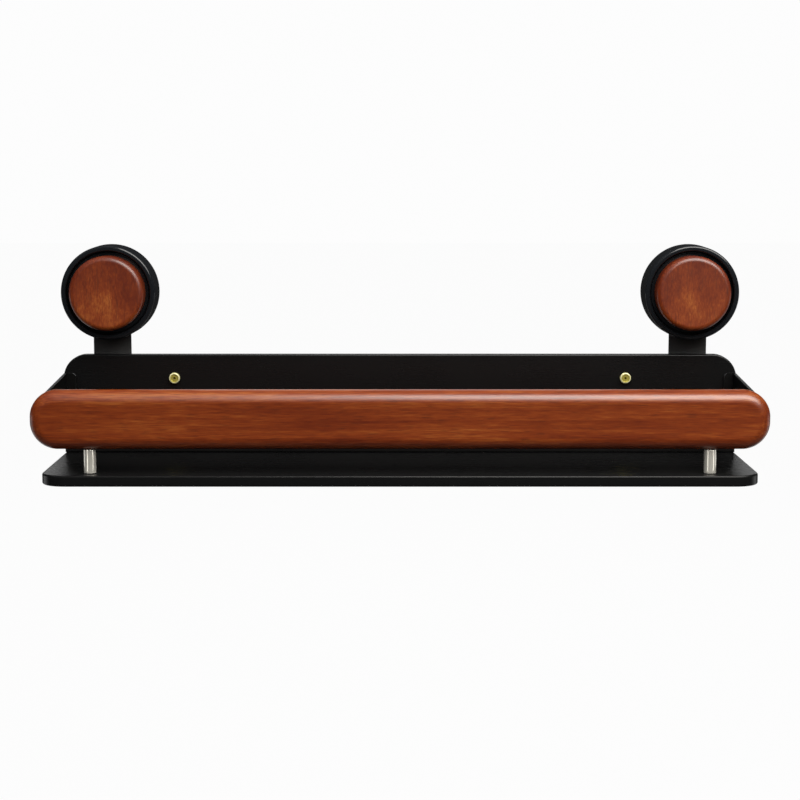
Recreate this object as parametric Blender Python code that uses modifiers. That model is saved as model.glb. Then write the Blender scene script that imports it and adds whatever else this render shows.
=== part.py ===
"""A narrow wall ledge with a wooden guard rail, held up by two twist-lock suction mounts.

Metres, with +X to the viewer's right, +Y into the wall and +Z up. The wall is the plane Y = 0. The
origin lies on it, midway between the two mounts. A depth below is a distance in front of the wall,
so a depth d is at Y = -d. Heights are counted from the line through the centres of the mounts.
"""

import math

import bmesh
import bpy
from mathutils import Matrix, Vector

MM = 0.001

# Clearances. GAP lies between pieces that touch on the real object, PLAY lies round a pin or a screw.
GAP = 0.3 * MM
PLAY = 0.35 * MM

# The two black boards: the back plate stands on the rear edge of the shelf.
BOARD_WIDTH = 485 * MM
BOARD_CORNER = 17 * MM
BOARD_EDGE = 1.2 * MM
PLATE_HEIGHT = 71.25 * MM
PLATE_THICKNESS = 7.5 * MM
SHELF_THICKNESS = 7.5 * MM
SHELF_DEPTH = 111 * MM
SHELF_OVERHANG = 0.25 * MM

# The wooden guard rail and the two chrome posts that carry it.
RAIL_OVERHANG = 6.8 * MM
RAIL_HEIGHT = 40.2 * MM
RAIL_THICKNESS = 18 * MM
RAIL_END_FLAT = 3 * MM
RAIL_EDGE_FLAT = 1 * MM
POST_LENGTH = 16.2 * MM
POST_RADIUS = 4.2 * MM
POST_INSET = 33 * MM
POST_SETBACK = 11.7 * MM
INSERT_WALL = 1.65 * MM
INSERT_LENGTH = 14 * MM

# The sheet-metal guards that close the ends between the back plate and the rail.
GUARD_SHEET = 2 * MM
GUARD_FLANGE = 8.4 * MM
GUARD_INSET = 0.7 * MM
GUARD_RISE = 1.3 * MM
GUARD_DROP = 5.4 * MM
GUARD_LIFT = 2.7 * MM
GUARD_BEND = 1.6 * MM
GUARD_CORNER = 3.5 * MM

# The suction mounts: the drum-shaped housing, the pad behind it and the knob in its well.
MOUNT_INSET = 34.5 * MM
HOUSING_RADIUS = 33.8 * MM
HOUSING_DRAFT = 0.2 * MM
HOUSING_DEPTH = 23.4 * MM
HOUSING_EDGE = 1.8 * MM
HOUSING_WALL = 3.1 * MM
HOUSING_LAND = 1.3 * MM
WELL_DEPTH = 7.5 * MM
WELL_FLOOR = 3 * MM
WELL_LIP = 0.6 * MM
PAD_RIM = 2.8 * MM
PAD_SEAL = 8.4 * MM
PAD_CHAMBER = 1.6 * MM
PAD_SKIN = 1.9 * MM
PAD_BULGE = 0.3 * MM
HUB_WALL = 1.95 * MM
HUB_HEIGHT = 7.5 * MM
KNOB_THICKNESS = 14.2 * MM
KNOB_MARGIN = 2.6 * MM
KNOB_EDGE = 3.4 * MM
KNOB_RIM = 7 * MM
KNOB_FLANGE_THICKNESS = 1.4 * MM
KNOB_SPIGOT = 8.6 * MM
KNOB_CLEARANCE = 0.7 * MM
KNOB_BEVEL = 0.8 * MM
WASHER_THICKNESS = 1 * MM
WASHER_LAP = 0.5 * MM
STUD_RADIUS = 4 * MM
STUD_FOOT_RADIUS = 7.2 * MM
STUD_FOOT = 2.1 * MM
STUD_BEVEL = 0.6 * MM
STUD_DRAW = 2.5 * MM
NUT_RADIUS = 7.5 * MM
NUT_LENGTH = 6 * MM

# The steel hangers: a ring screwed into the housing, a neck down to the plate and a foot behind it.
HANGER_THICKNESS = 2.5 * MM
HANGER_ROOM = 2.5 * MM
HANGER_WIDTH = 27 * MM
HANGER_NECK = 11.15 * MM
HANGER_OVERLAP = 6 * MM
HANGER_FOOT_ROOM = 4.5 * MM
HANGER_FOOT_MARGIN = 9 * MM
HANGER_CORNER = 4 * MM

# Screws: head radius, head height and shank radius of each kind, and where each kind sits.
BRASS_HEAD = (4 * MM, 2.3 * MM, 2 * MM)
BRASS_INSET = 80.1 * MM
BRASS_DROP = 17 * MM
BRASS_RISE = 9.6 * MM
POST_HEAD = (4 * MM, 2.2 * MM, 2 * MM)
BOARD_HEAD = (3.4 * MM, 1.9 * MM, 1.75 * MM)
BOARD_SCREWS = 4
BOARD_SCREW_INSET = 62.5 * MM
BOARD_SCREW_LENGTH = 30 * MM
GUARD_HEAD = (2.6 * MM, 1.7 * MM, 1.4 * MM)
GUARD_SCREW_LENGTH = 7 * MM
GUARD_SCREW_INSET = 9 * MM
HOUSING_HEAD = (2.8 * MM, 1.5 * MM, 1.4 * MM)
HOUSING_SCREWS = 3
HOUSING_SCREW_LENGTH = 8.5 * MM
BOSS_WIDTH = 10 * MM

# The rubber bumpers that keep the lower edge of the plate off the wall.
BUMPER_RADIUS = 7 * MM
BUMPER_EDGE = 1 * MM
BUMPER_LIFT = 11 * MM

# Depths in front of the wall, worked out from the sizes above.
HOUSING_BACK = PAD_RIM + GAP
HOUSING_FRONT = HOUSING_BACK + HOUSING_DEPTH
WELL_BOTTOM = HOUSING_FRONT - WELL_DEPTH
WELL_UNDER = WELL_BOTTOM - WELL_FLOOR
HANGER_BACK = HOUSING_BACK + HANGER_ROOM
HANGER_FRONT = HANGER_BACK + HANGER_THICKNESS
PLATE_BACK = HANGER_FRONT + GAP
PLATE_MIDDLE = PLATE_BACK + PLATE_THICKNESS / 2
PLATE_FRONT = PLATE_BACK + PLATE_THICKNESS
SHELF_FRONT = PLATE_BACK + SHELF_DEPTH
POST_DEPTH = SHELF_FRONT - POST_SETBACK
RAIL_BACK = POST_DEPTH - RAIL_THICKNESS / 2
GUARD_BACK = PLATE_FRONT + GAP
GUARD_FRONT = RAIL_BACK - GAP
KNOB_BACK = WELL_BOTTOM + WASHER_THICKNESS + 2 * GAP
KNOB_FLANGE = KNOB_BACK + KNOB_FLANGE_THICKNESS
KNOB_SPIGOT_FRONT = KNOB_FLANGE + KNOB_SPIGOT
KNOB_CAP_BACK = KNOB_FLANGE + GAP
KNOB_CAP_FRONT = KNOB_CAP_BACK + KNOB_THICKNESS
STUD_BACK = PAD_CHAMBER + PAD_SKIN + GAP
STUD_FOOT_FRONT = STUD_BACK + STUD_FOOT
STUD_TIP = KNOB_SPIGOT_FRONT - STUD_DRAW - 2 * GAP

# Heights, from the line through the mounts.
PLATE_TOP = -HOUSING_RADIUS - HANGER_NECK
PLATE_BOTTOM = PLATE_TOP - PLATE_HEIGHT
SHELF_TOP = PLATE_BOTTOM - GAP
SHELF_BOTTOM = SHELF_TOP - SHELF_THICKNESS
POST_BOTTOM = SHELF_TOP + GAP
RAIL_BOTTOM = POST_BOTTOM + POST_LENGTH + GAP
RAIL_TOP = RAIL_BOTTOM + RAIL_HEIGHT
GUARD_TOP = RAIL_TOP + GUARD_RISE
GUARD_BOTTOM = RAIL_BOTTOM + GUARD_LIFT
HANGER_FOOT_TOP = PLATE_TOP - HANGER_OVERLAP
BUMPER_HEIGHT = PLATE_BOTTOM + BUMPER_LIFT
HANGER_FOOT_BOTTOM = BUMPER_HEIGHT + BUMPER_RADIUS + HANGER_FOOT_ROOM
BRASS_UPPER = PLATE_TOP - BRASS_DROP
BRASS_LOWER = HANGER_FOOT_BOTTOM + BRASS_RISE

# Distances from the middle of the board, radii from the axis of a mount, and the rail's roundings.
SHELF_END = BOARD_WIDTH / 2 + SHELF_OVERHANG
RAIL_END = BOARD_WIDTH / 2 + RAIL_OVERHANG
POST_X = BOARD_WIDTH / 2 - POST_INSET
MOUNT_X = BOARD_WIDTH / 2 - MOUNT_INSET
BRASS_X = BOARD_WIDTH / 2 - BRASS_INSET
GUARD_OUTER = BOARD_WIDTH / 2 - GUARD_INSET
GUARD_INNER = GUARD_OUTER - GUARD_FLANGE
GUARD_SCREW_X = (GUARD_OUTER - GUARD_SHEET + GUARD_INNER) / 2
HOUSING_FACE = HOUSING_RADIUS - HOUSING_DRAFT
HOUSING_ROUND = HOUSING_FACE - HOUSING_EDGE
WELL_RADIUS = HOUSING_ROUND - HOUSING_LAND - WELL_LIP
CUP_RADIUS = HOUSING_RADIUS - HOUSING_WALL
PAD_RADIUS = HOUSING_RADIUS - GAP / 3
HUB_RADIUS = STUD_FOOT_RADIUS + PLAY + HUB_WALL
KNOB_RADIUS = WELL_RADIUS - KNOB_MARGIN
KNOB_SPIGOT_RADIUS = KNOB_RADIUS - KNOB_RIM
WASHER_OUTER = KNOB_SPIGOT_RADIUS
WASHER_INNER = NUT_RADIUS - WASHER_LAP
HANGER_RING = CUP_RADIUS - PLAY
BOSS_OUTER = CUP_RADIUS - HOUSING_WALL
BOSS_INNER = BOSS_OUTER - BOSS_WIDTH
HANGER_OPENING = BOSS_INNER - PLAY
HOUSING_SCREW_CIRCLE = (BOSS_OUTER + BOSS_INNER) / 2
INSERT_RADIUS = POST_HEAD[2] + PLAY + INSERT_WALL
RAIL_END_RADIUS = (RAIL_HEIGHT - RAIL_END_FLAT) / 2
RAIL_EDGE_RADIUS = (RAIL_THICKNESS - RAIL_EDGE_FLAT) / 2

SIDES = (("left", -1), ("right", 1))
FACING = {
    "up": (0, 0, 0),
    "down": (math.pi, 0, 0),
    "front": (math.pi / 2, 0, 0),
    "wall": (-math.pi / 2, 0, 0),
}

for leftover in list(bpy.data.objects):
    bpy.data.objects.remove(leftover)

parts = bpy.data.collections.new("wall_ledge")
bpy.context.scene.collection.children.link(parts)
cutters = bpy.data.collections.new("cutters")
cutters.hide_render = True
bpy.context.scene.collection.children.link(cutters)


def finish(name, colour, roughness, metallic=0.0):
    """A plain surface with the colour, roughness and metallic value seen in the photograph."""
    surface = bpy.data.materials.new(name)
    surface.use_nodes = True
    shader = surface.node_tree.nodes["Principled BSDF"]
    shader.inputs["Base Color"].default_value = (*colour, 1)
    shader.inputs["Roughness"].default_value = roughness
    shader.inputs["Metallic"].default_value = metallic
    surface.diffuse_color = (*colour, 1)
    return surface


BLACK_LACQUER = finish("black_lacquer", (0.012, 0.012, 0.012), 0.32)
BLACK_COAT = finish("black_coat", (0.016, 0.016, 0.017), 0.45)
BLACK_PLASTIC = finish("black_plastic", (0.02, 0.02, 0.021), 0.42)
RED_WOOD = finish("red_wood", (0.2, 0.055, 0.018), 0.3)
CHROME = finish("chrome", (0.78, 0.76, 0.72), 0.1, 1.0)
BRASS = finish("brass", (0.78, 0.57, 0.27), 0.22, 1.0)
ZINC_STEEL = finish("zinc_steel", (0.6, 0.6, 0.6), 0.35, 1.0)
WHITE_ACETAL = finish("white_acetal", (0.75, 0.74, 0.7), 0.4)
BLACK_RUBBER = finish("black_rubber", (0.025, 0.025, 0.026), 0.6)


def add(name, mesh, surface=None):
    """A new object: a part where it has a surface, and otherwise a hidden cutter."""
    obj = bpy.data.objects.new(name, mesh)
    if surface:
        parts.objects.link(obj)
        mesh.materials.append(surface)
    else:
        cutters.objects.link(obj)
        obj.hide_render = True
        obj.display_type = "WIRE"
    return obj


def place(obj, at, facing="up"):
    obj.location = at
    obj.rotation_euler = FACING[facing]
    return obj


def turned(name, outline, steps, surface=None, ring=False):
    """A turned piece. The outline holds (radius, height) pairs and runs down the outer side."""
    mesh = bpy.data.meshes.new(name)
    bm = bmesh.new()
    points = [bm.verts.new((radius, 0, height)) for radius, height in outline]
    for first, second in zip(points, points[1:]):
        bm.edges.new((first, second))
    if ring:
        bm.edges.new((points[-1], points[0]))
    bm.to_mesh(mesh)
    bm.free()
    obj = add(name, mesh, surface)
    turn = obj.modifiers.new("Turn", "SCREW")
    turn.steps = steps
    turn.render_steps = steps
    turn.use_merge_vertices = True
    turn.merge_threshold = 0.00001
    return obj


def arc(centre, radius, start, end, steps):
    """Points on an arc, as (radius, height) pairs, with the angles in degrees."""
    found = []
    for step in range(steps + 1):
        angle = math.radians(start + (end - start) * step / steps)
        found.append((centre[0] + radius * math.cos(angle), centre[1] + radius * math.sin(angle)))
    return found


def block(low, high):
    """The mesh of a box from its low to its high corner, ready for its edges to be rounded."""
    low, high = Vector(map(min, low, high)), Vector(map(max, low, high))
    size = high - low
    bm = bmesh.new()
    bmesh.ops.create_cube(bm, size=1)
    shape = Matrix.Translation((low + high) / 2) @ Matrix.Diagonal((*size, 1))
    bmesh.ops.transform(bm, matrix=shape, verts=bm.verts)
    return bm


def along(bm, axis, test):
    """The edges that run along an axis and whose middle passes the test."""
    found = []
    for edge in bm.edges:
        first, second = (vert.co for vert in edge.verts)
        run = (second - first).normalized()
        if abs(run[axis]) > 0.999 and test((first + second) / 2):
            found.append(edge)
    return found


def rims(bm, axis):
    """The edges round the two flat faces that look along an axis."""
    found = []
    for edge in bm.edges:
        flat = [abs(face.normal[axis]) > 0.999 for face in edge.link_faces]
        if sorted(flat) == [False, True]:
            found.append(edge)
    return found


def round_off(bm, edges, radius, segments):
    bmesh.ops.bevel(
        bm, geom=edges, offset=radius, offset_type="OFFSET", segments=segments, profile=0.5, affect="EDGES"
    )
    bm.normal_update()


def made(name, bm, surface=None):
    mesh = bpy.data.meshes.new(name)
    bm.to_mesh(mesh)
    bm.free()
    return add(name, mesh, surface)


def combine(obj, other, operation):
    boolean = obj.modifiers.new(other.name, "BOOLEAN")
    boolean.operation = operation
    boolean.solver = "EXACT"
    boolean.object = other


def cut(obj, *tools):
    for tool in tools:
        combine(obj, tool, "DIFFERENCE")


def drill(name, radius, low, high, at, facing="up", steps=12):
    """A cutter for a round hole that reaches from low to high along its own axis."""
    tool = turned(name, [(0, high), (radius, high), (radius, low), (0, low)], steps)
    return place(tool, at, facing)


def pan_screw(name, head, length, at, facing, surface, steps=12):
    """A round-headed screw. It is placed by the point under its head, and the head faces as told."""
    head_radius, head_height, shank = head
    outline = [
        (0, head_height),
        (head_radius * 0.7, head_height),
        (head_radius, head_height * 0.45),
        (head_radius, 0),
        (shank, 0),
        (shank, -length),
        (0, -length),
    ]
    return place(turned(name, outline, steps, surface), at, facing)


def flat_screw(name, head, length, at, facing, surface, steps=8):
    """A countersunk screw. It is placed by the middle of its flat head, which faces as told."""
    head_radius, head_height, shank = head
    outline = [
        (0, 0),
        (head_radius, 0),
        (shank, -head_height),
        (shank, -length),
        (0, -length),
    ]
    return place(turned(name, outline, steps, surface), at, facing)


def flat_hole(name, head, length, at, facing, steps=8):
    """The cutter for a countersunk screw's hole, with clearance all round the screw."""
    head_radius, head_height, shank = head
    outline = [
        (0, GAP + head_radius),
        (head_radius + PLAY, GAP + head_radius),
        (head_radius + PLAY, -GAP / 2),
        (shank + PLAY, -head_height - GAP / 2),
        (shank + PLAY, -length - GAP),
        (0, -length - GAP),
    ]
    return place(turned(name, outline, steps), at, facing)


def hex_recess(screw, name, head, at, facing):
    """The socket for a hexagon key in a screw's head."""
    head_radius, head_height, shank = head
    cut(screw, drill(name, head_radius * 0.5, head_height * 0.35, 2 * head_height, at, facing, 6))


def board_screw_places():
    """The number and the place along the board of each screw between shelf and plate."""
    span = BOARD_WIDTH - 2 * BOARD_SCREW_INSET
    return [(n + 1, span * (n / (BOARD_SCREWS - 1) - 0.5)) for n in range(BOARD_SCREWS)]


def make_shelf():
    """The shelf board, with round front corners and softened edges."""
    low = (-SHELF_END, -SHELF_FRONT, SHELF_BOTTOM)
    high = (SHELF_END, -PLATE_BACK, SHELF_TOP)
    bm = block(low, high)
    round_off(bm, along(bm, 2, lambda middle: middle.y < -PLATE_FRONT), BOARD_CORNER, 7)
    round_off(bm, rims(bm, 2), BOARD_EDGE, 2)
    shelf = made("shelf_board", bm, BLACK_LACQUER)
    for side, sign in SIDES:
        at = (sign * POST_X, -POST_DEPTH, SHELF_BOTTOM + GAP)
        cut(shelf, flat_hole("shelf_hole_" + side, POST_HEAD, 2 * SHELF_THICKNESS, at, "down", 12))
    for number, x in board_screw_places():
        at = (x, -PLATE_MIDDLE, SHELF_BOTTOM + GAP)
        cut(shelf, flat_hole(f"shelf_sink_{number}", BOARD_HEAD, 2 * SHELF_THICKNESS, at, "down"))


def make_plate():
    """The back plate, with round upper corners and holes for its screws."""
    low = (-BOARD_WIDTH / 2, -PLATE_FRONT, PLATE_BOTTOM)
    high = (BOARD_WIDTH / 2, -PLATE_BACK, PLATE_TOP)
    bm = block(low, high)
    upper = (PLATE_TOP + PLATE_BOTTOM) / 2
    round_off(bm, along(bm, 1, lambda middle: middle.z > upper), BOARD_CORNER, 7)
    round_off(bm, rims(bm, 1), BOARD_EDGE, 2)
    plate = made("back_plate", bm, BLACK_LACQUER)
    for number, x in board_screw_places():
        at = (x, -PLATE_MIDDLE, PLATE_BOTTOM)
        reach = BOARD_SCREW_LENGTH - SHELF_THICKNESS + GAP
        cut(plate, drill(f"plate_pilot_{number}", BOARD_HEAD[2] + PLAY, -SHELF_THICKNESS, reach, at, steps=8))
    for side, sign in SIDES:
        for row, height in (("upper", BRASS_UPPER), ("lower", BRASS_LOWER)):
            at = (sign * BRASS_X, -PLATE_MIDDLE, height)
            radius = BRASS_HEAD[2] + PLAY
            reach = PLATE_THICKNESS
            cut(plate, drill(f"plate_hole_{row}_{side}", radius, -reach, reach, at, "front"))
        for row, height in guard_screw_heights():
            at = (sign * GUARD_SCREW_X, -PLATE_FRONT, height)
            reach = GUARD_SCREW_LENGTH - GUARD_SHEET
            radius = GUARD_HEAD[2] + PLAY
            cut(plate, drill(f"plate_guard_{row}_{side}", radius, -reach, PLATE_THICKNESS, at, "front", 8))


def guard_screw_heights():
    """The heights of the two screws in each flange of a guard."""
    top = GUARD_TOP - GUARD_DROP - GUARD_SCREW_INSET
    bottom = GUARD_BOTTOM + GUARD_SCREW_INSET
    return (("upper", top), ("lower", bottom))


def make_rail():
    """The wooden guard rail: a bar with round ends and bullnose edges."""
    low = (-RAIL_END, -(RAIL_BACK + RAIL_THICKNESS), RAIL_BOTTOM)
    high = (RAIL_END, -RAIL_BACK, RAIL_TOP)
    bm = block(low, high)
    round_off(bm, along(bm, 1, lambda middle: True), RAIL_END_RADIUS, 7)
    round_off(bm, rims(bm, 1), RAIL_EDGE_RADIUS, 5)
    rail = made("front_rail", bm, RED_WOOD)
    for side, sign in SIDES:
        at = (sign * POST_X, -POST_DEPTH, RAIL_BOTTOM)
        cut(rail, drill("rail_hole_" + side, INSERT_RADIUS + PLAY, -RAIL_HEIGHT, INSERT_LENGTH + 2 * GAP, at))
        for row, height in guard_screw_heights():
            at = (sign * GUARD_SCREW_X, -RAIL_BACK, height)
            reach = GUARD_SCREW_LENGTH - GUARD_SHEET
            radius = GUARD_HEAD[2] + PLAY
            cut(rail, drill(f"rail_guard_{row}_{side}", radius, -reach, RAIL_THICKNESS, at, "wall", 8))


def make_post(side, sign):
    """A chrome spacer tube, its long screw from under the shelf and the brass insert in the rail."""
    x = sign * POST_X
    bore = POST_HEAD[2] + PLAY
    edge = POST_RADIUS / 8
    outline = [
        (POST_RADIUS - edge, POST_LENGTH),
        (POST_RADIUS, POST_LENGTH - edge),
        (POST_RADIUS, edge),
        (POST_RADIUS - edge, 0),
        (bore, 0),
        (bore, POST_LENGTH),
    ]
    place(turned("rail_post_" + side, outline, 24, CHROME, ring=True), (x, -POST_DEPTH, POST_BOTTOM))
    insert_bottom = RAIL_BOTTOM + GAP
    outline = [(INSERT_RADIUS, INSERT_LENGTH), (INSERT_RADIUS, 0), (bore, 0), (bore, INSERT_LENGTH)]
    place(turned("rail_insert_" + side, outline, 12, BRASS, ring=True), (x, -POST_DEPTH, insert_bottom))
    under = SHELF_BOTTOM + GAP
    length = insert_bottom + INSERT_LENGTH - POST_HEAD[2] - under
    at = (x, -POST_DEPTH, under)
    flat_screw("post_screw_" + side, POST_HEAD, length, at, "down", BLACK_COAT, 12)


def make_guard(side, sign):
    """A side guard: a folded sheet with a flange on the plate and another on the back of the rail."""
    low = (sign * GUARD_INNER, -GUARD_FRONT, GUARD_BOTTOM)
    high = (sign * GUARD_OUTER, -GUARD_BACK, GUARD_TOP)
    bm = block(low, high)
    for vert in bm.verts:
        if vert.co.z > GUARD_TOP - GUARD_DROP and vert.co.y < -(GUARD_BACK + GUARD_FRONT) / 2:
            vert.co.z -= GUARD_DROP
    bm.normal_update()
    middle_x = (GUARD_INNER + GUARD_OUTER) / 2
    round_off(bm, along(bm, 2, lambda middle: abs(middle.x) > middle_x), GUARD_BEND, 2)
    inner_edges = [
        edge
        for edge in bm.edges
        if all(abs(abs(vert.co.x) - GUARD_INNER) < GUARD_SHEET / 4 for vert in edge.verts)
        and abs(edge.verts[0].co.y - edge.verts[1].co.y) > GUARD_FLANGE
    ]
    round_off(bm, inner_edges, GUARD_CORNER, 3)
    guard = made("side_guard_" + side, bm, BLACK_COAT)
    low = (sign * (GUARD_INNER - GUARD_FLANGE), -GUARD_FRONT + GUARD_SHEET, GUARD_BOTTOM - GUARD_FLANGE)
    high = (sign * (GUARD_OUTER - GUARD_SHEET), -GUARD_BACK - GUARD_SHEET, GUARD_TOP + GUARD_FLANGE)
    cut(guard, made("guard_fold_" + side, block(low, high)))
    for row, height in guard_screw_heights():
        x = sign * GUARD_SCREW_X
        radius = GUARD_HEAD[2] + PLAY
        reach = 2 * GUARD_SHEET
        at = (x, -GUARD_BACK, height)
        cut(guard, drill(f"guard_back_{row}_{side}", radius, -reach, reach, at, "front", 8))
        at = (x, -GUARD_FRONT, height)
        cut(guard, drill(f"guard_front_{row}_{side}", radius, -reach, reach, at, "wall", 8))
        at = (x, -GUARD_BACK - GUARD_SHEET - GAP, height)
        length = GUARD_SCREW_LENGTH - GAP
        pan_screw(f"guard_plate_screw_{row}_{side}", GUARD_HEAD, length, at, "front", ZINC_STEEL, 8)
        at = (x, -GUARD_FRONT + GUARD_SHEET + GAP, height)
        pan_screw(f"guard_rail_screw_{row}_{side}", GUARD_HEAD, length, at, "wall", ZINC_STEEL, 8)


def make_hanger(side, sign):
    """A flat steel hanger: its ring sits in the housing, its foot lies behind the back plate."""
    x = sign * MOUNT_X
    back, front = HANGER_BACK, HANGER_FRONT
    outline = [(0, front), (HANGER_RING, front), (HANGER_RING, back), (0, back)]
    hanger = place(turned("hanger_" + side, outline, 32, BLACK_COAT), (x, 0, 0), "front")
    neck_low = (x - HANGER_WIDTH / 2, -front, HANGER_FOOT_TOP - HANGER_CORNER * 2)
    neck_high = (x + HANGER_WIDTH / 2, -back, -HANGER_OPENING - HANGER_CORNER)
    combine(hanger, made("hanger_neck_" + side, block(neck_low, neck_high)), "UNION")
    foot_inner = BRASS_X - HANGER_FOOT_MARGIN
    foot_outer = MOUNT_X + HANGER_WIDTH / 2
    foot_low = (sign * foot_inner, -front, HANGER_FOOT_BOTTOM)
    foot_high = (sign * foot_outer, -back, HANGER_FOOT_TOP)
    bm = block(foot_low, foot_high)
    round_off(bm, along(bm, 1, lambda middle: True), HANGER_CORNER, 3)
    combine(hanger, made("hanger_foot_" + side, bm), "UNION")
    middle = (back + front) / 2
    reach = 2 * HANGER_THICKNESS
    cut(hanger, drill("hanger_opening_" + side, HANGER_OPENING, -reach, reach, (x, -middle, 0), "front", 24))
    for number, at in housing_screw_places(x):
        cut(hanger, flat_hole(f"hanger_sink_{number}_{side}", HOUSING_HEAD, 2 * HANGER_THICKNESS, at, "wall"))
    for row, height in (("upper", BRASS_UPPER), ("lower", BRASS_LOWER)):
        screw_x = sign * BRASS_X
        at = (screw_x, -middle, height)
        cut(hanger, drill(f"hanger_tap_{row}_{side}", BRASS_HEAD[2] + PLAY, -reach, reach, at, "front"))
        at = (screw_x, -PLATE_FRONT - GAP, height)
        length = PLATE_FRONT + GAP - HANGER_BACK
        screw = pan_screw(f"brass_screw_{row}_{side}", BRASS_HEAD, length, at, "front", BRASS, 16)
        hex_recess(screw, f"brass_socket_{row}_{side}", BRASS_HEAD, at, "front")


def housing_screw_places(x):
    """The number and the place of each screw's head behind a housing, the first one at the top."""
    found = []
    for number in range(HOUSING_SCREWS):
        turn = math.tau * number / HOUSING_SCREWS
        across = HOUSING_SCREW_CIRCLE * math.sin(turn)
        up = HOUSING_SCREW_CIRCLE * math.cos(turn)
        found.append((number + 1, (x + across, -HANGER_BACK - GAP, up)))
    return found


def make_housing(side, sign):
    """The black drum: a cup over the pad behind, and in front a well that the knob turns in."""
    x = sign * MOUNT_X
    boss_end = HANGER_FRONT + GAP
    bore = STUD_RADIUS + PLAY
    corner = (HOUSING_ROUND, HOUSING_FRONT - HOUSING_EDGE)
    outline = arc(corner, HOUSING_EDGE, 90, 0, 3) + [
        (HOUSING_RADIUS, HOUSING_BACK),
        (CUP_RADIUS, HOUSING_BACK),
        (CUP_RADIUS, WELL_UNDER),
        (BOSS_OUTER, WELL_UNDER),
        (BOSS_OUTER, boss_end),
        (BOSS_INNER, boss_end),
        (BOSS_INNER, WELL_UNDER),
        (bore, WELL_UNDER),
        (bore, WELL_BOTTOM),
        (WELL_RADIUS, WELL_BOTTOM),
        (WELL_RADIUS, HOUSING_FRONT - WELL_LIP),
        (WELL_RADIUS + WELL_LIP, HOUSING_FRONT),
    ]
    housing = place(turned("housing_" + side, outline, 40, BLACK_PLASTIC, ring=True), (x, 0, 0), "front")
    half = HANGER_WIDTH / 2 + GAP
    low = (x - half, -HANGER_FRONT - GAP, -HOUSING_RADIUS * 1.2)
    high = (x + half, 0, -HANGER_RING * 0.75)
    cut(housing, made("housing_slot_" + side, block(low, high)))
    for number, at in housing_screw_places(x):
        reach = HOUSING_SCREW_LENGTH + GAP
        radius = HOUSING_HEAD[2] + PLAY
        cut(housing, drill(f"housing_pilot_{number}_{side}", radius, -reach, reach, at, "wall", 8))
        length = HOUSING_SCREW_LENGTH
        flat_screw(f"housing_screw_{number}_{side}", HOUSING_HEAD, length, at, "wall", ZINC_STEEL)


def make_pad(side, sign):
    """The soft suction pad: a flat sealing ring, a shallow chamber and a hub moulded round the stud."""
    x = sign * MOUNT_X
    cavity = STUD_BACK - GAP
    foot = STUD_FOOT_RADIUS + PLAY
    neck = STUD_RADIUS + GAP
    foot_top = STUD_FOOT_FRONT + GAP
    hub_top = cavity + HUB_HEIGHT
    seal = PAD_RADIUS - PAD_SEAL
    outline = [
        (0, cavity),
        (foot, cavity),
        (foot, foot_top),
        (neck, foot_top),
        (neck, hub_top),
        (HUB_RADIUS, hub_top),
        (HUB_RADIUS, cavity + PAD_SKIN),
        (HUB_RADIUS * 1.5, cavity + PAD_BULGE),
        (seal * 0.9, PAD_RIM + PAD_BULGE / 2),
        (PAD_RADIUS - PAD_BULGE, PAD_RIM),
        (PAD_RADIUS, PAD_RIM / 2),
        (PAD_RADIUS - PAD_BULGE, 0),
        (seal, 0),
        (seal - PAD_CHAMBER, PAD_CHAMBER / 2),
        (HUB_RADIUS, PAD_CHAMBER),
        (0, PAD_CHAMBER),
    ]
    place(turned("suction_pad_" + side, outline, 28, BLACK_RUBBER), (x, 0, 0), "front")


def make_stud(side, sign):
    """The stud that the pad's hub holds. The knob draws it forward to pull the vacuum."""
    outline = [
        (0, STUD_TIP),
        (STUD_RADIUS - STUD_BEVEL, STUD_TIP),
        (STUD_RADIUS, STUD_TIP - STUD_BEVEL),
        (STUD_RADIUS, STUD_FOOT_FRONT),
        (STUD_FOOT_RADIUS, STUD_FOOT_FRONT),
        (STUD_FOOT_RADIUS, STUD_BACK),
        (0, STUD_BACK),
    ]
    at = (sign * MOUNT_X, 0, 0)
    place(turned("draw_stud_" + side, outline, 12, ZINC_STEEL), at, "front")


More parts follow.
